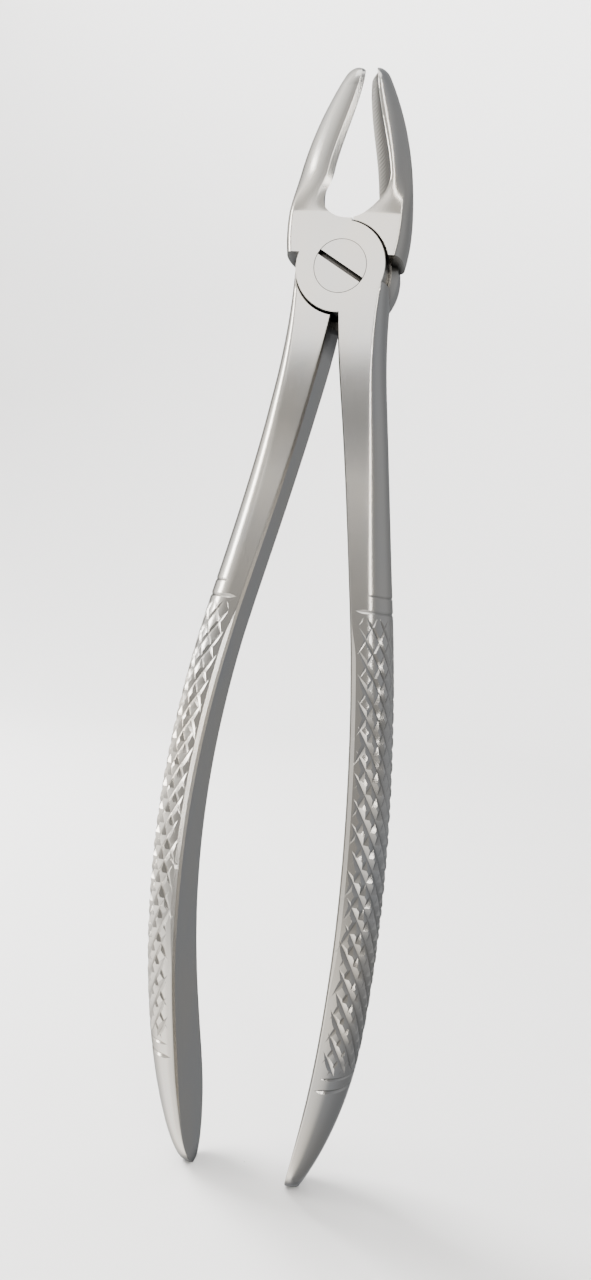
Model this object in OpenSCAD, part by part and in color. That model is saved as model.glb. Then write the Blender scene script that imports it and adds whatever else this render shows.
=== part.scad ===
// Extraction forceps, English pattern: two forged levers in a lap joint on one slotted screw.
// X is to the right, Y to the back and Z up, with the beaks up and the handles down.
// The origin is on the pivot axis, in the flat back face of the joint.

/* [Joint] */
// Thickness of the joint, from its front face to its back face
joint_t = 8.4; // [8:0.1:9.2]
// Radius of the front lever's disc
front_disc_r = 6.9; // [6.7:0.1:7.1]
// Radius of the back lever's disc
back_disc_r = 8.2; // [8:0.1:8.4]
// Gap between the two lapped faces
lap_gap = 0.1; // [0.06:0.01:0.2]
// Height of the beak's shoulder above the pivot
beak_shoulder_z = 1.9; // [1.6:0.1:2.4]
// Depth of the handle's shoulder below the pivot
handle_shoulder_z = 2.1; // [2:0.1:2.6]
// Radius of the round crotch between the beaks
crotch_r = 4.6; // [4.4:0.1:4.8]
// Height of the crotch's lowest point above the pivot
crotch_z = 7.2; // [7.2:0.05:7.4]

/* [Beaks] */
// Height of the tips above the pivot
tip_z = 31.5; // [30:0.5:33]
// Depth of a beak, front to back, near its tip
tip_depth = 4.6; // [4:0.1:6]
// Greatest distance of a beak's outer edge from the middle
beak_outer = 9.5; // [9.2:0.1:9.8]
// Radius of the arc of a beak's outer edge, above its widest point
beak_arc_r = 50; // [45:1:60]
// Radius of the arc of a beak's outer edge, below its widest point
shoulder_arc_r = 25; // [20:1:40]
// Gap from the middle to a beak's inner edge at the tip
tip_inner = 0.85; // [0.6:0.05:1.2]
// Depth of the hollow along a beak's inner face
beak_hollow = 0.45; // [0.2:0.05:0.6]

/* [Handles] */
// Length of a handle below the pivot
handle_len = 143.5; // [135:0.5:150]
// Greatest distance of a handle's inner edge from the middle
handle_crest = 12.2; // [10:0.1:14]
// Radius of the long arc of a handle's inner edge
handle_arc_r = 250; // [200:5:300]
// Width of a handle at the joint
joint_w = 7.3; // [7:0.1:7.6]
// Width of a handle along its grip
grip_w = 6; // [5.5:0.1:6.5]
// Width of a handle at its end
end_w = 2.2; // [2:0.1:4]
// Depth of a handle where it is thinnest, front to back
waist_t = 7.8; // [7:0.1:8.2]
// Depth of a handle at its end, before it is rounded
end_t = 14.2; // [12:0.1:15]
// How far a handle bows to the front
front_bow = 5.6; // [0:0.1:6]
// How far a handle's end goes to the back
end_bow = 1.5; // [0:0.1:2]
// Radius of the rounded end, seen from the side
end_round = 17.6; // [14:0.1:20]

/* [Screw] */
// Diameter of the screw's flush head
head_d = 8; // [7.6:0.1:8.4]
// Thickness of the head
head_t = 2.2; // [2:0.1:2.6]
// Diameter of the smooth shoulder that the front lever turns on
shoulder_d = 5.5; // [5.2:0.1:5.8]
// Diameter of the threaded end in the back lever
thread_d = 5; // [4.6:0.1:5]
// Radial running clearance of the front lever on the screw
running_gap = 0.05; // [0.03:0.01:0.08]
// Width of the driver slot
slot_w = 0.8; // [0.7:0.1:1.2]
// Depth of the driver slot
slot_depth = 1.1; // [0.8:0.1:1.3]
// Angle of the driver slot from the X axis
slot_angle = 30; // [0:5:90]

/* [Hidden] */
steel = [0.78, 0.77, 0.74];
screw_steel = [0.74, 0.73, 0.71];
$fn = 96;

half_t = joint_t / 2;
// The back lever's seat for the front disc is wider, and set off to the lower right.
seat_r = front_disc_r + 0.25;
seat_shift = 0.22;
// The front lever's seat for the back disc is concentric.
back_seat_r = back_disc_r + 0.3;
// Each beak crosses the middle at the crotch as a small land, with a gap beside the other's.
land_x = 0.95;
land_gap = 0.2;
land_top = crotch_z + 1;
crotch_mid_z = crotch_z + crotch_r;
crotch_relief = 0.15;
// The forged bars lie this far below the ground faces of the joint.
bar_step = 0.05;
bar_t = joint_t - 2 * bar_step;
past = 1;

// Depths below the pivot that the handle's shape turns on.
straight_from = 18;
straight_to = 50;
crest_at = 96;
narrow_to = 60;
narrow_from = 112;
thin_from = 10;
waist_at = 30;
bow_mid = 79;
bow_half = 56;
end_bow_from = 105;
end_bow_over = 30;
joint_ease = 0.004;
// Heights above the pivot that the beak's shape turns on.
beak_widest_z = 6.5;
close_from = 11;
close_over = 21;
taper_from = 8;
taper_over = 20;

HANDLE_RINGS = 40;
HANDLE_SIDES = 16;
outer_power = 0.95;
BEAK_U = [0, 0.1, 0.2, 0.3, 0.4, 0.5, 0.62, 0.74, 0.84, 0.91, 0.95, 0.985];
beak_side = 1.3;
// A beak's ridge runs between these shares of its width, counted from the inner edge.
FRONT_RIDGE = [0.2, 0.3];
BACK_RIDGE = [0.02, 0.06];
// How a beak's inner face leans: its slope with depth, and how far it's set over for its depth.
FRONT_LEAN = [0.4, -0.12];
BACK_LEAN = [-0.4, 0.05];
lean_from = 8;
lean_to = 14.5;
tip_from = 26;
BEAK_Z = concat([beak_shoulder_z, 3.5, 5.5], [for (k = [0 : 9]) crotch_mid_z - crotch_r * cos(k * 10)],
                [for (z = [crotch_mid_z : 1.5 : tip_from - 1]) z],
                [for (k = [0 : 8]) tip_from + (tip_z - tip_from - 0.02) * sin(k * 90 / 8)]);
ridge_from = 7.6;
ridge_to = 15.6;
hollow_from = 8.5;

function smooth(f) = let (g = min(max(f, 0), 1)) g * g * (3 - 2 * g);

// The handle's inner edge: a straight run that eases in from the joint, then one long arc.
function arc_edge(s) = handle_crest - pow(s - crest_at, 2) / (2 * handle_arc_r);
function handle_inner(s) =
    s >= straight_to ? arc_edge(s)
    : arc_edge(straight_to) - (straight_to - s) * (crest_at - straight_to) / handle_arc_r
      + joint_ease * pow(max(straight_from - s, 0), 2);
function handle_width(s) =
    joint_w - (joint_w - grip_w) * sin(90 * min(s / narrow_to, 1))
    - (grip_w - end_w) * pow(max((s - narrow_from) / (handle_len - narrow_from), 0), 2.8);
function handle_deep(s) =
    s < waist_at ? bar_t - (bar_t - waist_t) * smooth((s - thin_from) / (waist_at - thin_from))
    : waist_t + (end_t - waist_t) * pow((s - waist_at) / (handle_len - waist_at), 1.35);
// The bow is negative towards the front.
function handle_bow(s) =
    end_bow * smooth((s - end_bow_from) / end_bow_over)
    - (abs(s - bow_mid) < bow_half ? front_bow * pow(cos(90 * (s - bow_mid) / bow_half), 1.7) : 0);
// The flat part of the front and back faces, as a share of the width.
function handle_flat(s) = 0.15 + 0.75 * exp(-s / 40);

// The beak's outer edge is two arcs that meet at its widest point. Its inner edge closes in on
// the middle, and it tapers in depth.
function beak_far(z) =
    let (r = z < beak_widest_z ? shoulder_arc_r : beak_arc_r)
    beak_outer - r + sqrt(r * r - pow(z - beak_widest_z, 2));
function beak_near(z) = tip_inner + (crotch_r - tip_inner) * (1 - smooth((z - close_from) / close_over));
function beak_deep(z) =
    bar_t + (tip_depth - bar_t) * pow(min(max((z - taper_from) / taper_over, 0), 1), 1.1);

// Handle: flat inner, front and back faces and a rounded outer side; its end is round in side view.
function end_scale(s) =
    let (e = (s - handle_len + end_round) / end_round) e <= 0 ? 1 : sqrt(max(1 - e * e, 0.02));
function handle_point(s, across, side) =
    [handle_inner(s) + across * handle_width(s),
     handle_bow(s) + side * end_scale(s) * handle_deep(s) / 2,
     -s];
function outer_point(s, a) =
    let (flat = handle_flat(s))
    handle_point(s, flat + (1 - flat) * pow(cos(a), outer_power), sign(a) * pow(abs(sin(a)), outer_power));
function handle_ring(s) = concat(
    [handle_point(s, 0, -1)],
    [for (k = [0 : HANDLE_SIDES]) outer_point(s, -90 + 180 * k / HANDLE_SIDES)],
    [handle_point(s, 0, 1)]);

// Beak: flat front and back by the joint with a rounded side, then a ridge that falls away to the
// edges, and an inner face that leans.
function flat_side(u, share) = u <= 1 - share ? 1 : pow(1 - pow((u - 1 + share) / share, 2), 0.42);
function ridge_side(u, ridge) =
    u < ridge[0] ? 1 - 0.7 * (ridge[0] - u)
    : u < ridge[1] ? 1
    : pow(1 - pow((u - ridge[1]) / (1 - ridge[1]), 1.7), 0.62);
function tip_scale(z) = let (e = (z - tip_z + 3.5) / 3.5) e <= 0 ? 1 : sqrt(max(1 - e * e, 0.03));
function tip_taper(z) = let (e = (z - tip_z + 1.2) / 1.2) e <= 0 ? 1 : sqrt(max(1 - e * e, 0.06));
function beak_half(z, u, ridge) =
    let (f = smooth((z - ridge_from) / (ridge_to - ridge_from)),
         share = min(beak_side / (beak_far(z) - inner_edge(z)), 0.5),
         height = (1 - f) * flat_side(u, share) + f * ridge_side(u, ridge))
    tip_scale(z) * beak_deep(z) / 2 * height;
function inner_edge(z) =
    z >= crotch_mid_z ? beak_near(z)
    : z < crotch_z + 0.01 ? -land_x
    : sqrt(crotch_r * crotch_r - pow(crotch_mid_z - z, 2));
function beak_x(z, u) =
    let (inner = inner_edge(z), outer = beak_far(z), mid = (inner + outer) / 2)
    mid + tip_taper(z) * (inner + u * (outer - inner) - mid);
function beak_point(z, u, side, ridge, lean) =
    let (y = side * beak_half(z, u, ridge),
         over = lean[0] * y + lean[1] * beak_half(z, 0, ridge))
    [beak_x(z, u) + (1 - u) * smooth((z - lean_from) / (lean_to - lean_from)) * tip_taper(z) * over, y, z];
function beak_ring(z, ridge, lean) = concat(
    [beak_point(z, 0, 0, ridge, lean) + [beak_hollow * smooth((z - hollow_from) / 6) * tip_taper(z), 0, 0]],
    [for (u = BEAK_U) beak_point(z, u, -1, ridge, lean)],
    [[beak_x(z, 1), 0, z]],
    [for (k = [len(BEAK_U) - 1 : -1 : 0]) beak_point(z, BEAK_U[k], 1, ridge, lean)]);

// A closed skin over a stack of rings that run upwards, each anticlockwise seen from above.
module loft(rings) {
    n = len(rings[0]);
    last = (len(rings) - 1) * n;
    polyhedron(
        points = [for (r = rings) each r],
        faces = concat(
            [[for (k = [0 : n - 1]) k]],
            [[for (k = [0 : n - 1]) last + (n - k) % n]],
            [for (r = [0 : len(rings) - 2], k = [0 : n - 1])
                let (a = r * n + k, b = r * n + (k + 1) % n) [a, a + n, b + n]],
            [for (r = [0 : len(rings) - 2], k = [0 : n - 1])
                let (a = r * n + k, b = r * n + (k + 1) % n) [a, b + n, b]]),
        convexity = 6);
}

// The handle's depths are spaced closer near its rounded end.
function handle_depth(k) =
    let (f = k / HANDLE_RINGS, knee = handle_len - end_round)
    f < 0.75 ? handle_shoulder_z + (knee - handle_shoulder_z) * f / 0.75
             : knee + (end_round - 0.02) * sin((f - 0.75) * 360);

module handle_bar() loft([for (k = [HANDLE_RINGS : -1 : 0]) handle_ring(handle_depth(k))]);
module beak_bar(ridge, lean) loft([for (z = BEAK_Z) beak_ring(z, ridge, lean)]);

// A cylinder along Y, from y = from to y = to, on an axis at x, z.
module along_y(r, from, to, x = 0, z = 0)
    translate([x, from, z]) rotate([-90, 0, 0]) cylinder(r = r, h = to - from);

// Everything is drawn about the joint's middle plane, then set back to the origin.
module placed() translate([0, -half_t, 0]) children();

module front_lever() color(steel) placed() {
    difference() {
        union() {
            difference() {
                union() {
                    handle_bar();
                    mirror([1, 0, 0]) beak_bar(FRONT_RIDGE, FRONT_LEAN);
                }
                along_y(back_seat_r, -lap_gap / 2, half_t + past);
            }
            along_y(front_disc_r, -half_t, -lap_gap / 2);
        }
        along_y(shoulder_d / 2 + running_gap, -half_t - past, half_t);
        along_y(head_d / 2 + running_gap, -half_t - past, head_t + running_gap - half_t);
    }
}

module back_lever() color(steel) placed() {
    difference() {
        union() {
            difference() {
                union() {
                    mirror([1, 0, 0]) handle_bar();
                    beak_bar(BACK_RIDGE, BACK_LEAN);
                }
                along_y(seat_r, -half_t - past, lap_gap / 2, seat_shift, -seat_shift);
                translate([-land_top, -half_t - past, 0])
                    cube([land_top + land_x + land_gap, half_t + past + lap_gap / 2, land_top]);
            }
            difference() {
                along_y(back_disc_r, lap_gap / 2, half_t);
                along_y(crotch_r + crotch_relief, 0, joint_t, 0, crotch_mid_z);
            }
        }
        along_y(thread_d / 2, -half_t, half_t + past);
    }
}

module pivot_screw() color(screw_steel) placed() {
    difference() {
        union() {
            along_y(head_d / 2, -half_t, head_t - half_t);
            along_y(shoulder_d / 2, head_t - half_t, lap_gap / 2);
            along_y(thread_d / 2, lap_gap / 2, half_t);
        }
        rotate([0, slot_angle, 0])
            translate([-head_d, -half_t - past, -slot_w / 2])
            cube([2 * head_d, past + slot_depth, slot_w]);
    }
}

back_lever();
front_lever();
pivot_screw();
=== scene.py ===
"""Extraction forceps: two forged steel levers in a lap joint, on one slotted pivot screw.

X is to the right, Y to the back and Z up, with the origin in the joint's back face.
Shapes are worked out in millimetres about the joint's middle plane, and built in metres.
"""
import math

import bmesh
import bpy
import numpy as np
from mathutils import Matrix, Vector


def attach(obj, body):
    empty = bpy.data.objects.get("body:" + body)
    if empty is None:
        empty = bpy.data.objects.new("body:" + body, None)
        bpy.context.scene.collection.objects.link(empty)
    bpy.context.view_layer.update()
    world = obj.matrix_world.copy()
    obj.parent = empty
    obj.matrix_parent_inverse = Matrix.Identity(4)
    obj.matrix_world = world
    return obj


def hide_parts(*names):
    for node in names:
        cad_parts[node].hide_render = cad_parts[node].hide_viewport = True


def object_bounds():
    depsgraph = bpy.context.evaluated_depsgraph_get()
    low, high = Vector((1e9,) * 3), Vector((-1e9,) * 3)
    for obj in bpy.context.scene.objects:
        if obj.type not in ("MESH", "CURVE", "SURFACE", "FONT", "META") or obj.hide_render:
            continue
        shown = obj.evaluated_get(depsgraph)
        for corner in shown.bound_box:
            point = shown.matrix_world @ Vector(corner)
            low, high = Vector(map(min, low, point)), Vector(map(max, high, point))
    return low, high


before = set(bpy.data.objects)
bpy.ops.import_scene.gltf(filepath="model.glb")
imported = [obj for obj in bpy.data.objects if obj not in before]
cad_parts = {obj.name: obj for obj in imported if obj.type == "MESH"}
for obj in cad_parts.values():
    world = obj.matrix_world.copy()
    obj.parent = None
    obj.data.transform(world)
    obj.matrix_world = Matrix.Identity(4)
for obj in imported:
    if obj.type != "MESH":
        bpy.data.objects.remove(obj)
cad_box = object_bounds()

MM = 0.001
JOINT_T = 8.4
HALF_T = JOINT_T / 2
FLOOR_Z = cad_box[0][2]

# Joint and screw, in millimetres.
FRONT_DISC_R = 6.9
BACK_DISC_R = 8.2
SEAT_R = FRONT_DISC_R + 0.25
SEAT_SHIFT = 0.22
BACK_SEAT_R = BACK_DISC_R + 0.3
LAP_GAP = 0.1
BEAK_SHOULDER = 1.9
HANDLE_SHOULDER = 2.1
LAND_X = 0.95
LAND_GAP = 0.2
CROTCH_R = 4.6
CROTCH_Z = 7.2
CROTCH_MID = CROTCH_Z + CROTCH_R
HEAD_R = 4.0
HEAD_T = 2.2
SHOULDER_R = 2.75
THREAD_R = 2.5
RUN_GAP = 0.05
SLOT_W = 0.8
SLOT_DEPTH = 1.1
SLOT_ANGLE = 30
EDGE = 0.1
HEAD_EDGE = 0.03
RING_BEVEL = 0.9

# Handle: its inner edge is a straight run and then one long arc. Distances are below the pivot.
TIP_Z = 31.5
HANDLE_LEN = 143.5
END_ROUND = 17.6
HANDLE_CREST, HANDLE_ARC_R, CREST_AT = 12.2, 250, 96
STRAIGHT_FROM, STRAIGHT_TO, JOINT_EASE = 18, 50, 0.004
JOINT_W, GRIP_W, END_W, NARROW_TO, NARROW_FROM = 7.3, 6.0, 2.2, 60, 112
WAIST_T, END_T, THIN_FROM, WAIST_AT = 7.8, 14.2, 10, 30
FRONT_BOW, BOW_MID, BOW_HALF = 5.6, 79, 56
END_BOW, END_BOW_FROM, END_BOW_OVER = 1.5, 105, 30
OUTER_POWER = 0.95
# The stretch of the wide bevel beside the grip.
BEVEL_FROM, BEVEL_TO = 52.5, 112

# Beak: heights are above the pivot.
TIP_DEPTH = 4.6
BEAK_OUTER, BEAK_ARC_R, SHOULDER_ARC_R, BEAK_WIDEST_Z = 9.5, 50, 25, 6.5
TIP_INNER, CLOSE_FROM, CLOSE_OVER = 0.85, 11, 21
TAPER_FROM, TAPER_OVER = 8, 20
BEAK_HOLLOW = 0.45
BEAK_SIDE = 1.3
# A beak's ridge runs between these shares of its width, counted from the inner edge.
FRONT_RIDGE = (0.2, 0.3)
BACK_RIDGE = (0.02, 0.06)
# How a beak's inner face leans: its slope with depth, and how far it's set over for its depth.
FRONT_LEAN = (0.4, -0.12)
BACK_LEAN = (-0.4, 0.05)
LEAN_FROM, LEAN_TO = 8.0, 14.5
RIDGE_FROM, RIDGE_OVER = 7.6, 8
HOLLOW_FROM, HOLLOW_OVER = 8.5, 6
# The tip is rounded over these lengths, front to back and side to side.
TIP_ROUND_Y, TIP_ROUND_X = 3.5, 1.2
TOOTH_DEPTH, TOOTH_PITCH, TEETH_FROM, TEETH_TO = 0.13, 0.56, 12.5, 30.6

# Grip: ring grooves as place, half width and how far short of the border they stop; then the
# diamond cuts, as two families of V grooves that cross the handle at an angle to its length.
RINGS = ((48.9, 0.3, 0.6), (51.3, 0.36, -1.2), (121.9, 0.32, -0.3), (124.0, 0.42, -0.7))
GRIP_FROM, GRIP_TO = 46.0, 127.0
KNURL_FROM, KNURL_TO = 52.2, 121.0
KNURL_PITCH = 3.7
KNURL_TAN = math.tan(math.radians(29))
GROOVE_RATIO = 0.5
GROOVE_CLEAR = 0.25
# Half width of the grooves of each family, by distance below the pivot.
GROOVE_AT = (52, 58, 68, 100, 112, 121)
GROOVE_HALF = ((0.32, 0.5, 0.88, 0.9, 0.85, 0.65), (0.24, 0.34, 0.66, 0.76, 0.46, 0.28))
# The smooth border between the inner edge and the cuts.
BORDER_AT = (52, 60, 70, 90, 105, 121)
BORDER = (2.2, 1.85, 1.85, 1.85, 1.75, 1.6)


def smooth(f):
    g = np.clip(f, 0, 1)
    return g * g * (3 - 2 * g)


def power(base, exponent):
    return np.sign(base) * np.abs(base) ** exponent


# ---------------------------------------------------------------- meshes
def mesh_object(name, points, faces):
    """Points are in millimetres about the joint's middle plane."""
    mesh = bpy.data.meshes.new(name)
    place = (np.asarray(points, float) + (0, -HALF_T, 0)) * MM
    mesh.from_pydata([tuple(p) for p in place], [], faces)
    mesh.update()
    piece = bpy.data.objects.new(name, mesh)
    bpy.context.scene.collection.objects.link(piece)
    return piece


def outward(piece):
    bm = bmesh.new()
    bm.from_mesh(piece.data)
    bmesh.ops.recalc_face_normals(bm, faces=bm.faces)
    bm.to_mesh(piece.data)
    bm.free()
    return piece


def skin(name, *stacks):
    """A closed mesh over each stack of rings of equal length, with both ends capped."""
    faces, first = [], 0
    for rings in stacks:
        count, around = rings.shape[:2]
        a = first + np.arange(count * around).reshape(count, around)
        b = np.roll(a, -1, axis=1)
        faces += np.stack([a[:-1], b[:-1], b[1:], a[1:]], axis=2).reshape(-1, 4).tolist()
        faces += [a[0].tolist(), a[-1].tolist()]
        first += count * around
    return outward(mesh_object(name, np.concatenate([r.reshape(-1, 3) for r in stacks]), faces))


def lathe(name, profile, x=0.0, z=0.0, steps=192):
    """A closed solid turned about Y. The profile is (radius, y) from one end to the other."""
    turn = np.arange(steps) * 2 * math.pi / steps
    rings = np.array([np.stack([x + r * np.cos(turn), np.full(steps, y), z + r * np.sin(turn)], 1)
                      for r, y in profile])
    return skin(name, rings)


def boolean(piece, tool, operation):
    change = piece.modifiers.new(operation, "BOOLEAN")
    change.operation = operation
    change.object = tool
    change.solver = "MANIFOLD"
    graph = bpy.context.evaluated_depsgraph_get()
    result = bpy.data.meshes.new_from_object(piece.evaluated_get(graph))
    piece.modifiers.clear()
    old = piece.data
    piece.data = result
    bpy.data.meshes.remove(old)
    bpy.data.objects.remove(tool)
    return piece


# ---------------------------------------------------------------- the handle bar
def arc_edge(s):
    return HANDLE_CREST - (s - CREST_AT) ** 2 / (2 * HANDLE_ARC_R)


def handle_inner(s):
    """The inner edge: a straight run that eases in from the joint, then one long arc."""
    if s >= STRAIGHT_TO:
        return arc_edge(s)
    slope = (CREST_AT - STRAIGHT_TO) / HANDLE_ARC_R
    ease = JOINT_EASE * max(STRAIGHT_FROM - s, 0) ** 2
    return arc_edge(STRAIGHT_TO) - (STRAIGHT_TO - s) * slope + ease


def handle_width(s):
    narrowing = max((s - NARROW_FROM) / (HANDLE_LEN - NARROW_FROM), 0) ** 2.8
    eased = math.sin(math.pi / 2 * min(s / NARROW_TO, 1))
    return JOINT_W - (JOINT_W - GRIP_W) * eased - (GRIP_W - END_W) * narrowing


def handle_deep(s):
    if s < WAIST_AT:
        return JOINT_T - (JOINT_T - WAIST_T) * smooth((s - THIN_FROM) / (WAIST_AT - THIN_FROM))
    return WAIST_T + (END_T - WAIST_T) * ((s - WAIST_AT) / (HANDLE_LEN - WAIST_AT)) ** 1.35


def handle_bow(s):
    """How far the middle of the section lies behind the joint's; negative is to the front."""
    turn = math.pi / 2 * min(abs(s - BOW_MID) / BOW_HALF, 1)
    back = END_BOW * smooth((s - END_BOW_FROM) / END_BOW_OVER)
    return back - FRONT_BOW * max(math.cos(turn), 0) ** 1.7


def handle_flat(s):
    """The flat part of the front and back faces, as a share of the width."""
    return 0.15 + 0.75 * math.exp(-s / 40)


def handle_outline(s):
    """The section at s from its front inner corner round the outer side, as a fine polyline.
    A steep small edge meets the inner face, and beside the grip a wider bevel meets the edge."""
    inner, width, depth = handle_inner(s), handle_width(s), handle_deep(s)
    bow, flat = handle_bow(s), handle_flat(s)
    into_end = max((s - HANDLE_LEN + END_ROUND) / END_ROUND, 0)
    half = depth / 2 * math.sqrt(max(1 - into_end**2, 0.02))
    bevelled = smooth((s - BEVEL_FROM) / 6) * smooth((BEVEL_TO - s) / 14)
    edged = smooth((s - 4) / 14) * smooth((HANDLE_LEN - 4 - s) / 14)
    edge, fall = 0.08 + 0.24 * edged, 0.08 + 0.5 * edged
    bevel = edge + 0.04 + 0.55 * bevelled
    rise = 0.01 + 0.2 * bevelled
    angle = np.radians(np.linspace(90, -90, 241))
    x = inner + width * (flat + (1 - flat) * power(np.cos(angle), OUTER_POWER))
    y = bow - half * power(np.sin(angle), OUTER_POWER)
    start = np.array([[inner, bow - half + rise + fall], [inner + edge, bow - half + rise],
                      [inner + bevel, bow - half]])
    end = start[::-1] * (1, -1) + (0, 2 * bow)
    middle = np.stack([x, y], 1)
    return np.concatenate([start, middle, end])


def run_along(line):
    """The distance along a polyline at each of its points."""
    return np.concatenate([[0], np.cumsum(np.hypot(*np.diff(line, axis=0).T))])


def handle_rings(outer_points=76, inner_points=4):
    knee = HANDLE_LEN - END_ROUND
    s = np.concatenate([np.arange(HANDLE_SHOULDER, knee, 0.8),
                        knee + (END_ROUND - 0.01) * np.sin(np.radians(np.linspace(0, 90, 30)))])
    rings = []
    for at in s:
        line = handle_outline(at)
        run = run_along(line)
        inside = np.linspace(run[2], run[-1] - run[2], outer_points)
        want = np.concatenate([run[:2], inside, run[-2:]])
        points = np.stack([np.interp(want, run, line[:, 0]), np.interp(want, run, line[:, 1])], 1)
        face = np.linspace(points[-1], points[0], inner_points + 2)[1:-1]
        ring = np.concatenate([points, face])
        rings.append(np.column_stack([ring[:, 0], ring[:, 1], np.full(len(ring), -at)]))
    return np.array(rings)


class GripSurface:
    """The handle's outer surface by distance down it and distance round from its outer middle."""

    def __init__(self, step=0.4, round_step=0.1, widest=13.0):
        self.s = np.arange(GRIP_FROM - 2, GRIP_TO + 2, step)
        self.round = np.arange(-widest, widest + round_step, round_step)
        self.half_run = np.empty(len(self.s))
        self.points = np.empty((len(self.s), len(self.round), 3))
        for i, at in enumerate(self.s):
            line = handle_outline(at)
            run = run_along(line)
            self.half_run[i] = run[-1] / 2
            want = self.round + run[-1] / 2
            self.points[i, :, 0] = np.interp(want, run, line[:, 0])
            self.points[i, :, 1] = np.interp(want, run, line[:, 1])
            self.points[i, :, 2] = -at
        down, turned = np.gradient(self.points, axis=(0, 1))
        normal = np.cross(down, turned)
        self.normals = normal / np.maximum(np.linalg.norm(normal, axis=2), 1e-9)[:, :, None]

    def pick(self, table, s, a):
        i = np.clip((s - self.s[0]) / (self.s[1] - self.s[0]), 0, len(self.s) - 1.001)
        j = np.clip((a - self.round[0]) / (self.round[1] - self.round[0]), 0, len(self.round) - 1.001)
        i0, j0 = i.astype(int), j.astype(int)
        fi, fj = (i - i0)[:, None], (j - j0)[:, None]
        return ((table[i0, j0] * (1 - fj) + table[i0, j0 + 1] * fj) * (1 - fi)
                + (table[i0 + 1, j0] * (1 - fj) + table[i0 + 1, j0 + 1] * fj) * fi)

    def reach(self, s):
        """How far round the cuts may go at s."""
        return np.interp(s, self.s, self.half_run) - np.interp(s, BORDER_AT, BORDER)


def groove(surface, s, a, half):
    """A V-shaped cutter that follows the surface; half is its half width at each point."""
    at, normal = surface.pick(surface.points, s, a), surface.pick(surface.normals, s, a)
    normal /= np.linalg.norm(normal, axis=1)[:, None]
    ahead = np.gradient(at, axis=0)
    side = np.cross(ahead, normal)
    side /= np.linalg.norm(side, axis=1)[:, None]
    depth = half * GROOVE_RATIO - 0.02
    wide = (depth + GROOVE_CLEAR) / GROOVE_RATIO
    over = at + normal * GROOVE_CLEAR
    return np.stack([at - normal * depth[:, None], over + side * wide[:, None],
                     over - side * wide[:, None]], 1)


def knurl_cutters(surface):
    """Four sets of grooves: each family's even and odd ones, so that none in a set meet."""
    drift = np.random.default_rng(7)
    sets = []
    for way, halves in zip((1, -1), GROOVE_HALF):
        first = int((KNURL_FROM - 30) / KNURL_PITCH)
        last = int((KNURL_TO + 30) / KNURL_PITCH)
        family = []
        for k in range(first, last):
            start = (k + drift.uniform(-0.045, 0.045)) * KNURL_PITCH
            share = drift.uniform(0.92, 1.04)
            a = np.arange(-13, 13.01, 0.25)
            s = start + way * a / KNURL_TAN
            room = surface.reach(s) - np.abs(a) + drift.uniform(-0.35, 0.35)
            inside = np.minimum(room, np.minimum(s - KNURL_FROM, KNURL_TO - s))
            keep = inside > -0.6
            if keep.sum() < 6:
                continue
            s, a, fade = s[keep], a[keep], smooth((inside[keep] + 0.5) / 1.7)
            family.append((k, groove(surface, s, a, np.interp(s, GROOVE_AT, halves) * share * fade)))
        sets += [[rings for k, rings in family if k % 2 == odd] for odd in (0, 1)]
    return sets


def ring_cutters(surface):
    stacks = []
    for at, half, short in RINGS:
        far = float(surface.reach(at)) - short
        a = np.linspace(-far, far, 120)
        fade = smooth((far - np.abs(a)) / 1.6)
        stacks.append(groove(surface, np.full_like(a, at), a, half * fade))
    return stacks


def handle_bar(name):
    bar = skin(name, handle_rings())
    surface = GripSurface()
    for cutters in knurl_cutters(surface) + [ring_cutters(surface)]:
        boolean(bar, skin("cutters", *cutters), "DIFFERENCE")
    return bar


# ---------------------------------------------------------------- the beak
def beak_far(z):
    """The outer edge: two arcs that meet at the widest point."""
    r = SHOULDER_ARC_R if z < BEAK_WIDEST_Z else BEAK_ARC_R
    return BEAK_OUTER - r + math.sqrt(r**2 - (z - BEAK_WIDEST_Z) ** 2)


def beak_near(z):
    """The inner edge above the crotch, which closes in on the middle."""
    return TIP_INNER + (CROTCH_R - TIP_INNER) * (1 - smooth((z - CLOSE_FROM) / CLOSE_OVER))


def beak_deep(z):
    return JOINT_T + (TIP_DEPTH - JOINT_T) * min(max((z - TAPER_FROM) / TAPER_OVER, 0), 1) ** 1.1


def flat_side(u, share):
    """Half depth across the beak at the joint, flat but for a rounded side."""
    past = np.clip((u - 1 + share) / share, 0, 1)
    return (1 - past**2) ** 0.42


def ridge_side(u, ridge):
    """Half depth across the beak above the joint: an inner bevel, a ridge and an outer slope."""
    past = np.clip((u - ridge[1]) / (1 - ridge[1]), 0, 1)
    return np.where(u < ridge[0], 1 - 0.7 * (ridge[0] - u), (1 - past**1.7) ** 0.62)


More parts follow.
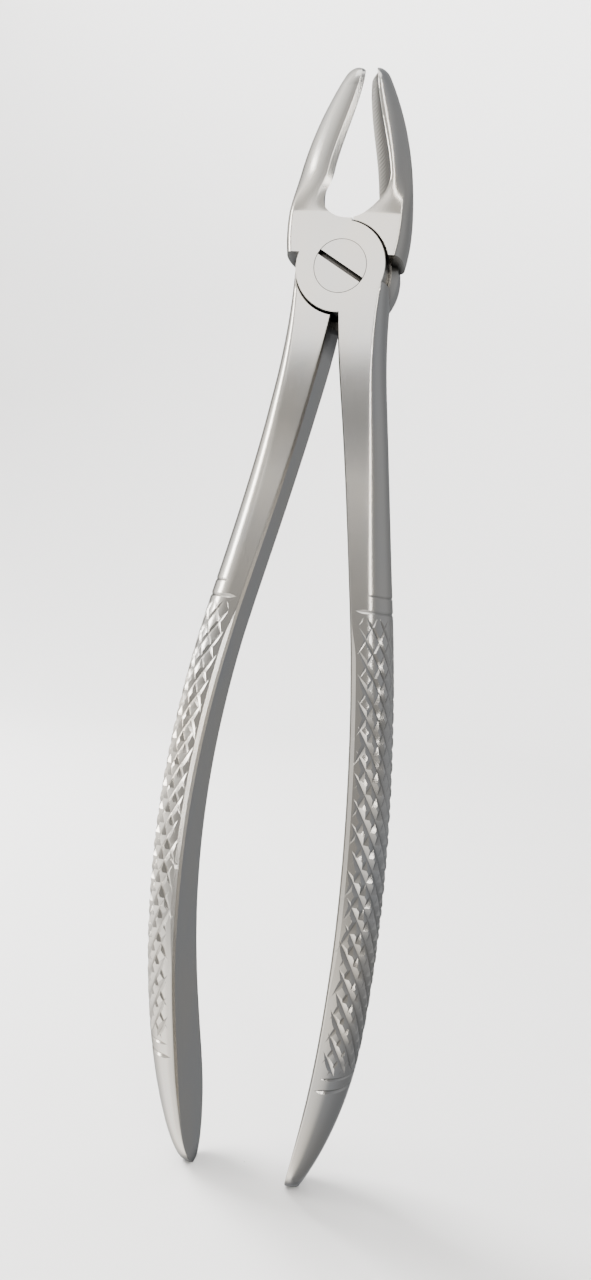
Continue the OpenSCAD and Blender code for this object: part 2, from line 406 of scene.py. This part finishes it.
def beak_rings(ridge_at, lean):
    arc = CROTCH_MID - CROTCH_R * np.cos(np.radians(np.arange(0.5, 90, 3)))
    z = np.concatenate([[BEAK_SHOULDER, 3, 4, 5, 6, 7, CROTCH_Z], arc,
                        np.arange(CROTCH_MID, 26, 0.14),
                        26 + (TIP_Z - 26.005) * np.sin(np.radians(np.linspace(0, 90, 60)))])
    front = np.unique(np.concatenate([np.linspace(0, 0.9, 46), ridge_at,
                                      1 - 0.1 * np.linspace(1, 0, 12)[1:] ** 2]))
    hollow = np.linspace(-1, 1, 15)[1:-1]
    rings = []
    for at in z:
        outer, depth = beak_far(at), beak_deep(at)
        if at >= CROTCH_MID:
            inner = beak_near(at)
        elif at <= CROTCH_Z + 0.001:
            inner = -LAND_X
        else:
            inner = math.sqrt(CROTCH_R**2 - (CROTCH_MID - at) ** 2)
        side = max((at - TIP_Z + TIP_ROUND_Y) / TIP_ROUND_Y, 0)
        edge = max((at - TIP_Z + TIP_ROUND_X) / TIP_ROUND_X, 0)
        tall = math.sqrt(max(1 - side**2, 0.03))
        wide = math.sqrt(max(1 - edge**2, 0.06))
        mid = (inner + outer) / 2
        ridge = smooth((at - RIDGE_FROM) / RIDGE_OVER)
        share = min(BEAK_SIDE / (outer - inner), 0.5)
        height = (1 - ridge) * flat_side(front, share) + ridge * ridge_side(front, ridge_at)
        half = tall * depth / 2 * height
        x = mid + wide * (inner + front * (outer - inner) - mid)
        cut = BEAK_HOLLOW * smooth((at - HOLLOW_FROM) / HOLLOW_OVER) * wide
        ends = smooth((at - TEETH_FROM) / 1.5) * smooth(TEETH_TO - at)
        tooth = TOOTH_DEPTH * (2 * abs((at / TOOTH_PITCH) % 1 - 0.5)) * ends
        # The teeth reach only the rim that stands out into the gap.
        toward = -math.copysign(1, lean[0])
        reach = smooth((1 - np.abs(hollow)) / 0.15) * smooth((1 + toward * hollow) / 0.5)
        face_y = hollow * half[0]
        face_x = x[0] + cut * (1 - np.abs(hollow) ** 2.2) + tooth * reach
        front_x, back_x = x.copy(), x.copy()
        (back_x if toward > 0 else front_x)[0] += tooth * 0.8
        ring = np.concatenate([np.stack([front_x, -half], 1), np.stack([back_x[-2::-1], half[-2::-1]], 1),
                               np.stack([face_x[::-1], face_y[::-1]], 1)])
        inward = 1 - np.concatenate([front, front[-2::-1], np.zeros(len(hollow))])
        fade = smooth((at - LEAN_FROM) / (LEAN_TO - LEAN_FROM)) * wide
        ring[:, 0] += inward * fade * (lean[0] * ring[:, 1] + lean[1] * half[0])
        rings.append(np.column_stack([ring[:, 0], ring[:, 1], np.full(len(ring), at)]))
    return np.array(rings)


# ---------------------------------------------------------------- the levers
def flip(rings):
    return rings * (-1, 1, 1)


def mirrored(piece):
    piece.data.transform(Matrix.Diagonal((-1, 1, 1, 1)))
    return outward(piece)


def disc(name, radius, face, lap, x=0.0, z=0.0):
    """A disc from the lap to an outer face, with a small chamfer at the outer face."""
    out = 1 if face > lap else -1
    return lathe(name, [(radius, lap), (radius, face - out * EDGE), (radius - EDGE, face)], x, z)


def seat(name, radius, face, lap, x=0.0, z=0.0, edge=EDGE):
    """A cutter from the lap out past a face, flared to chamfer the seat's edge at that face."""
    out = 1 if face > lap else -1
    return lathe(name, [(radius, lap), (radius, face - out * edge), (radius + edge, face),
                        (radius + edge, face + out)], x, z)


def block(name, low, high):
    x, y, z = zip(low, high)
    corners = [(x[i], y[j], z[k]) for i in (0, 1) for j in (0, 1) for k in (0, 1)]
    faces = [(0, 1, 3, 2), (4, 6, 7, 5), (0, 4, 5, 1), (2, 3, 7, 6), (0, 2, 6, 4), (1, 5, 7, 3)]
    return outward(mesh_object(name, corners, faces))


def front_lever():
    lever = handle_bar("front_lever_forging")
    boolean(lever, skin("beak", flip(beak_rings(FRONT_RIDGE, FRONT_LEAN))), "UNION")
    boolean(lever, seat("seat", BACK_SEAT_R, HALF_T, -LAP_GAP / 2), "DIFFERENCE")
    boolean(lever, disc("disc", FRONT_DISC_R, -HALF_T, -LAP_GAP / 2), "UNION")
    boolean(lever, lathe("bore", [(SHOULDER_R + RUN_GAP, HALF_T), (SHOULDER_R + RUN_GAP, -HALF_T + 1)]),
            "DIFFERENCE")
    boolean(lever, seat("counterbore", HEAD_R + RUN_GAP, -HALF_T, HEAD_T + RUN_GAP - HALF_T,
                        edge=HEAD_EDGE), "DIFFERENCE")
    return lever


def back_lever():
    lever = handle_bar("back_lever_forging")
    mirrored(lever)
    boolean(lever, skin("beak", beak_rings(BACK_RIDGE, BACK_LEAN)), "UNION")
    boolean(lever, seat("seat", SEAT_R, -HALF_T, LAP_GAP / 2, SEAT_SHIFT, -SEAT_SHIFT), "DIFFERENCE")
    land = block("land", (-CROTCH_Z, -HALF_T - 1, 0), (LAND_X + LAND_GAP, LAP_GAP / 2, CROTCH_Z + 1))
    boolean(lever, land, "DIFFERENCE")
    plate = lathe("disc", [(BACK_DISC_R - RING_BEVEL, LAP_GAP / 2), (BACK_DISC_R, LAP_GAP / 2 + RING_BEVEL),
                           (BACK_DISC_R, HALF_T - EDGE), (BACK_DISC_R - EDGE, HALF_T)])
    boolean(plate, lathe("crotch", [(CROTCH_R + 0.02, -JOINT_T), (CROTCH_R + 0.02, JOINT_T)], 0, CROTCH_MID),
            "DIFFERENCE")
    boolean(lever, plate, "UNION")
    boolean(lever, lathe("bore", [(THREAD_R, -HALF_T), (THREAD_R, HALF_T + 1)]), "DIFFERENCE")
    return lever


def pivot_screw():
    fine = 0.08
    screw = lathe("pivot_screw_turned", [
        (HEAD_R - HEAD_EDGE, -HALF_T), (HEAD_R, -HALF_T + HEAD_EDGE), (HEAD_R, HEAD_T - HALF_T - fine),
        (HEAD_R - fine, HEAD_T - HALF_T), (SHOULDER_R, HEAD_T - HALF_T), (SHOULDER_R, LAP_GAP / 2),
        (THREAD_R - fine, LAP_GAP / 2), (THREAD_R - fine, HALF_T - 0.25), (THREAD_R - 0.25, HALF_T)])
    slot = block("slot", (-2 * HEAD_R, -HALF_T - 1, -SLOT_W / 2),
                 (2 * HEAD_R, SLOT_DEPTH - HALF_T, SLOT_W / 2))
    turn = Matrix.Rotation(math.radians(SLOT_ANGLE), 4, "Y")
    slot.data.transform(turn)
    return boolean(screw, slot, "DIFFERENCE")


GRIP_LIMIT = math.radians(17)


def finish_mesh(piece, angle=28):
    """Cleans the joined mesh and keeps its machined edges and the grip's cuts crisp."""
    bm = bmesh.new()
    bm.from_mesh(piece.data)
    bmesh.ops.remove_doubles(bm, verts=bm.verts, dist=0.0000001)
    bmesh.ops.delete(bm, geom=[v for v in bm.verts if not v.link_faces], context="VERTS")
    bmesh.ops.recalc_face_normals(bm, faces=bm.faces)
    for face in bm.faces:
        face.smooth = True
    limit = math.radians(angle)
    for edge in bm.edges:
        z = edge.verts[0].co.z / MM
        bend = edge.calc_face_angle(0) if len(edge.link_faces) == 2 else 0
        edge.smooth = bend < (GRIP_LIMIT if GRIP_FROM < -z < GRIP_TO else limit)
    bm.to_mesh(piece.data)
    bm.free()
    return piece


# ---------------------------------------------------------------- materials
def steel(name, base, roughness, grain):
    """Satin stainless steel, brushed along Z, with a cloudy tone, fine specks and painted shade that darkens
    the base colour in recesses.
    """
    material = bpy.data.materials.new(name)
    material.use_nodes = True
    tree = material.node_tree
    nodes, link = tree.nodes, tree.links.new
    shader = nodes["Principled BSDF"]
    shader.inputs["Metallic"].default_value = 1.0
    where = nodes.new("ShaderNodeTexCoord")

    def noise(scale, detail, stretch):
        mapping = nodes.new("ShaderNodeMapping")
        mapping.inputs["Scale"].default_value = stretch
        texture = nodes.new("ShaderNodeTexNoise")
        texture.inputs["Scale"].default_value = scale
        texture.inputs["Detail"].default_value = detail
        link(where.outputs["Object"], mapping.inputs["Vector"])
        link(mapping.outputs["Vector"], texture.inputs["Vector"])
        return texture.outputs["Fac"]

    brushed = noise(1.0, 4, (9000, 9000, 260))
    cloudy = noise(90, 3, (1, 1, 0.5))
    specks = noise(2600, 2, (1, 1, 1))

    def ramp(value, stops):
        band = nodes.new("ShaderNodeValToRGB")
        elements = band.color_ramp.elements
        for element, (at, colour) in zip(elements, stops):
            element.position = at
            element.color = (*colour, 1)
        link(value, band.inputs["Fac"])
        return band.outputs["Color"]

    def mapped(value, low, high):
        node = nodes.new("ShaderNodeMapRange")
        node.inputs["To Min"].default_value = low
        node.inputs["To Max"].default_value = high
        link(value, node.inputs["Value"])
        return node.outputs["Result"]

    def add(a, b):
        node = nodes.new("ShaderNodeMath")
        node.operation = "ADD"
        link(a, node.inputs[0])
        link(b, node.inputs[1])
        return node.outputs["Value"]

    warm = tuple(c * k for c, k in zip(base, (1.03, 1.0, 0.96)))
    cool = tuple(c * k for c, k in zip(base, (0.95, 0.96, 0.98)))
    # Painted shade: ambient occlusion darkens the base colour in grooves, the slot and the gaps between
    # parts, nearly to black where they are deepest.
    recess_painted_shade = nodes.new("ShaderNodeAmbientOcclusion")
    recess_painted_shade.samples = 8
    recess_painted_shade.inputs["Distance"].default_value = 0.0025
    link(ramp(cloudy, ((0.35, cool), (0.65, warm))), recess_painted_shade.inputs["Color"])
    painted_shade_multiply = nodes.new("ShaderNodeMix")
    painted_shade_multiply.data_type = "RGBA"
    painted_shade_multiply.blend_type = "MULTIPLY"
    painted_shade_multiply.inputs["Factor"].default_value = 1
    link(recess_painted_shade.outputs["Color"], painted_shade_multiply.inputs["A"])
    link(ramp(recess_painted_shade.outputs["AO"], ((0.2, (0.05, 0.045, 0.04)), (0.92, (1, 1, 1)))), painted_shade_multiply.inputs["B"])
    link(painted_shade_multiply.outputs["Result"], shader.inputs["Base Color"])
    rough = add(mapped(cloudy, roughness - 0.05, roughness + 0.03), mapped(brushed, -0.03, 0.05))
    link(rough, shader.inputs["Roughness"])
    bump = nodes.new("ShaderNodeBump")
    bump.inputs["Strength"].default_value = grain
    bump.inputs["Distance"].default_value = 0.00002
    link(add(brushed, mapped(specks, 0, 0.35)), bump.inputs["Height"])
    link(bump.outputs["Normal"], shader.inputs["Normal"])
    return material


def pale(name, colour, roughness):
    material = bpy.data.materials.new(name)
    material.use_nodes = True
    shader = material.node_tree.nodes["Principled BSDF"]
    shader.inputs["Base Color"].default_value = (*colour, 1)
    shader.inputs["Roughness"].default_value = roughness
    return material


# ---------------------------------------------------------------- camera, floor and light
CAMERA_AZ, CAMERA_EL, CAMERA_ROLL = (math.radians(a) for a in (12.4, 2.2, 6.8))
CAMERA_DISTANCE = 153.0
CAMERA_TARGET = Vector((-0.9, -HALF_T, -57)) * MM
LENS_SHARE = 0.76

FLOOR_R = 0.3
SWEEP_FROM, SWEEP_R = 0.5, 0.4
# What the steel mirrors, by azimuth from the front (-Y) towards +X in degrees: below, level with
# and above the object, and how the three blend with the upward share of the direction.
ROOM_BELOW = ((-180, 0.5), (-120, 1.2), (-80, 2.4), (-35, 2.6), (-12, 1.4), (20, 1.0), (50, 0.4), (110, 0.26),
              (160, 0.2), (180, 0.5))
ROOM_LEVEL = ((-180, 0.25), (-130, 0.3), (-100, 1.8), (-80, 2.2), (-60, 1.3), (-32, 0.7), (-17, 0.4),
              (15, 0.35), (40, 0.3), (80, 0.4), (110, 0.4), (150, 0.25), (180, 0.27))
ROOM_ABOVE = ((-180, 0.6), (-120, 1.2), (-80, 2.2), (-55, 1.6), (-30, 1.0), (-12, 0.7), (12, 0.7), (35, 0.5),
              (90, 0.35), (130, 0.35), (165, 0.4), (180, 0.6))
LEVEL_FROM = ((-1.0, 0.0), (-0.56, 0.0), (-0.42, 1.0), (1.0, 1.0))
ABOVE_FROM = ((-1.0, 0.0), (0.45, 0.0), (0.65, 1.0), (1.0, 1.0))
# The mirrored light is warm from the front and left, and cool from the right and behind.
WARM, COOL = (1.0, 0.975, 0.92), (0.96, 0.99, 1.03)
ROOM_TINT = ((-180, COOL), (-130, WARM), (20, WARM), (60, COOL), (180, COOL))


def camera():
    data = bpy.data.cameras.new("camera")
    eye = bpy.data.objects.new("camera", data)
    bpy.context.scene.collection.objects.link(eye)
    back = Vector((math.sin(CAMERA_AZ) * math.cos(CAMERA_EL), -math.cos(CAMERA_AZ) * math.cos(CAMERA_EL),
                   math.sin(CAMERA_EL)))
    right = Vector((math.cos(CAMERA_AZ), math.sin(CAMERA_AZ), 0))
    up = back.cross(right)
    tilted_right = right * math.cos(CAMERA_ROLL) + up * math.sin(CAMERA_ROLL)
    tilted_up = back.cross(tilted_right)
    place = Matrix((tilted_right, tilted_up, back)).transposed().to_4x4()
    place.translation = CAMERA_TARGET + back * CAMERA_DISTANCE * MM
    eye.matrix_world = place
    data.sensor_fit = "VERTICAL"
    data.sensor_height = 36
    data.lens = LENS_SHARE * 36
    data.clip_start = 0.005
    data.clip_end = 20
    bpy.context.scene.camera = eye
    return eye


def sweep(name, profile, material, steps=160):
    """A surface turned about Z through the object. The profile is (radius, height over the floor)."""
    turn = np.arange(steps) * 2 * math.pi / steps
    points = [(r * math.cos(t), r * math.sin(t), FLOOR_Z + h) for r, h in profile for t in turn]
    faces = [(i * steps + k, i * steps + (k + 1) % steps, (i + 1) * steps + (k + 1) % steps,
              (i + 1) * steps + k) for i in range(len(profile) - 1) for k in range(steps)]
    mesh = bpy.data.meshes.new(name)
    mesh.from_pydata(points, [], faces)
    for face in mesh.polygons:
        face.use_smooth = True
    turned = bpy.data.objects.new(name, mesh)
    bpy.context.scene.collection.objects.link(turned)
    mesh.materials.append(material)
    return turned


def studio():
    """A flat floor, and beyond it a backdrop that sweeps up behind every view."""
    paper = pale("paper_pale", (0.78, 0.78, 0.785), 0.8)
    floor = sweep("floor", [(0.0001, 0), (0.06, 0), (0.15, 0), (FLOOR_R, 0)], paper)
    floor.visible_glossy = False
    curve = [(FLOOR_R, 0), (SWEEP_FROM, 0)]
    curve += [(SWEEP_FROM + SWEEP_R * math.sin(a), SWEEP_R * (1 - math.cos(a)))
              for a in np.radians(np.arange(6, 91, 6))]
    curve += [(SWEEP_FROM + SWEEP_R, 1.0), (SWEEP_FROM + SWEEP_R, 1.8)]
    backdrop = sweep("backdrop", curve, paper)
    backdrop.visible_glossy = False


def area(name, place, aim, size, radiance, colour, mirrored_by_steel=True):
    """A softbox at a place, facing a point; the camera never sees it."""
    way = Vector(place) - Vector(aim)
    data = bpy.data.lights.new(name, "AREA")
    data.shape = "RECTANGLE"
    data.size, data.size_y = size
    data.energy = radiance * math.pi * size[0] * size[1]
    data.color = colour
    lamp = bpy.data.objects.new(name, data)
    bpy.context.scene.collection.objects.link(lamp)
    lamp.location = place
    lamp.rotation_euler = way.to_track_quat("Z", "Y").to_euler()
    lamp.visible_camera = False
    lamp.visible_glossy = mirrored_by_steel


def room():
    """What the steel mirrors between the softboxes: darker to the right and below."""
    world = bpy.data.worlds.new("room")
    bpy.context.scene.world = world
    world.use_nodes = True
    nodes, link = world.node_tree.nodes, world.node_tree.links.new
    where = nodes.new("ShaderNodeTexCoord")
    split = nodes.new("ShaderNodeSeparateXYZ")
    link(where.outputs["Generated"], split.inputs["Vector"])
    turned = nodes.new("ShaderNodeMath")
    turned.operation = "ARCTAN2"
    back = nodes.new("ShaderNodeMath")
    back.operation = "MULTIPLY"
    back.inputs[1].default_value = -1
    link(split.outputs["Y"], back.inputs[0])
    link(split.outputs["X"], turned.inputs[0])
    link(back.outputs["Value"], turned.inputs[1])

    def band(value, half_range, stops):
        """A ramp of levels, or of colours, over a value from minus to plus the half range."""
        spread = nodes.new("ShaderNodeMapRange")
        spread.inputs["From Min"].default_value = -half_range
        spread.inputs["From Max"].default_value = half_range
        link(value, spread.inputs["Value"])
        ramp = nodes.new("ShaderNodeValToRGB")
        elements = ramp.color_ramp.elements
        while len(elements) < len(stops):
            elements.new(0.5)
        for element, (at, level) in zip(elements, stops):
            element.position = at
            element.color = (*level, 1) if isinstance(level, tuple) else (level, level, level, 1)
        link(spread.outputs["Result"], ramp.inputs["Fac"])
        return ramp.outputs["Color"]

    def round_band(stops):
        return band(turned.outputs["Value"], math.pi, [((at + 180) / 360, level) for at, level in stops])

    def mix(kind, factor, a, b):
        node = nodes.new("ShaderNodeMix")
        node.data_type = "RGBA"
        node.blend_type = kind
        for value, socket in ((factor, "Factor"), (a, "A"), (b, "B")):
            if isinstance(value, bpy.types.NodeSocket):
                link(value, node.inputs[socket])
            else:
                node.inputs[socket].default_value = value
        return node.outputs["Result"]

    level = round_band(ROOM_BELOW)
    for stops, blend in ((ROOM_LEVEL, LEVEL_FROM), (ROOM_ABOVE, ABOVE_FROM)):
        factor = band(split.outputs["Z"], 1, [((at + 1) / 2, share) for at, share in blend])
        level = mix("MIX", factor, level, round_band(stops))
    link(mix("MULTIPLY", 1.0, level, round_band(ROOM_TINT)), nodes["Background"].inputs["Color"])


def lights():
    cream, white = (1.0, 0.965, 0.90), (1.0, 0.985, 0.96)
    middle = (0, 0, -0.05)
    room()
    area("window_left", (-0.39, -0.126, 0.05), middle, (0.12, 0.46), 13, cream)
    area("strip_right", (0.18, -0.41, 0.08), middle, (0.05, 0.8), 9, cream)
    area("overhead", (-0.03, -0.15, 0.53), middle, (0.4, 0.3), 2, white)
    area("front_card", (-0.022, -0.1, 0.036), (-0.022, 0, 0.036), (0.09, 0.055), 2.5, white)
    area("floor_wash", (-0.45, 0.1, 0.3), (0, 0, -0.14), (0.3, 0.3), 42, white, False)
    area("wall_wash", (0, 0.4, 0.75), (0, 1.1, 0.35), (0.9, 0.3), 18, white, False)


camera()
studio()
lights()

lever_steel = steel("lever_steel_satin", (0.66, 0.645, 0.62), 0.21, 0.2)
screw_steel = steel("screw_steel_satin", (0.64, 0.63, 0.61), 0.23, 0.18)
PIECES = (("front_lever", front_lever, "front_lever", "lever_steel", lever_steel),
          ("back_lever", back_lever, "back_lever", "lever_steel", lever_steel),
          ("pivot_screw", pivot_screw, "back_lever", "screw_steel", screw_steel))
for node, build, body, slot, material in PIECES:
    piece = finish_mesh(build())
    piece.data.materials.clear()
    piece.data.materials.append(material)
    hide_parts(node)
    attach(piece, body)
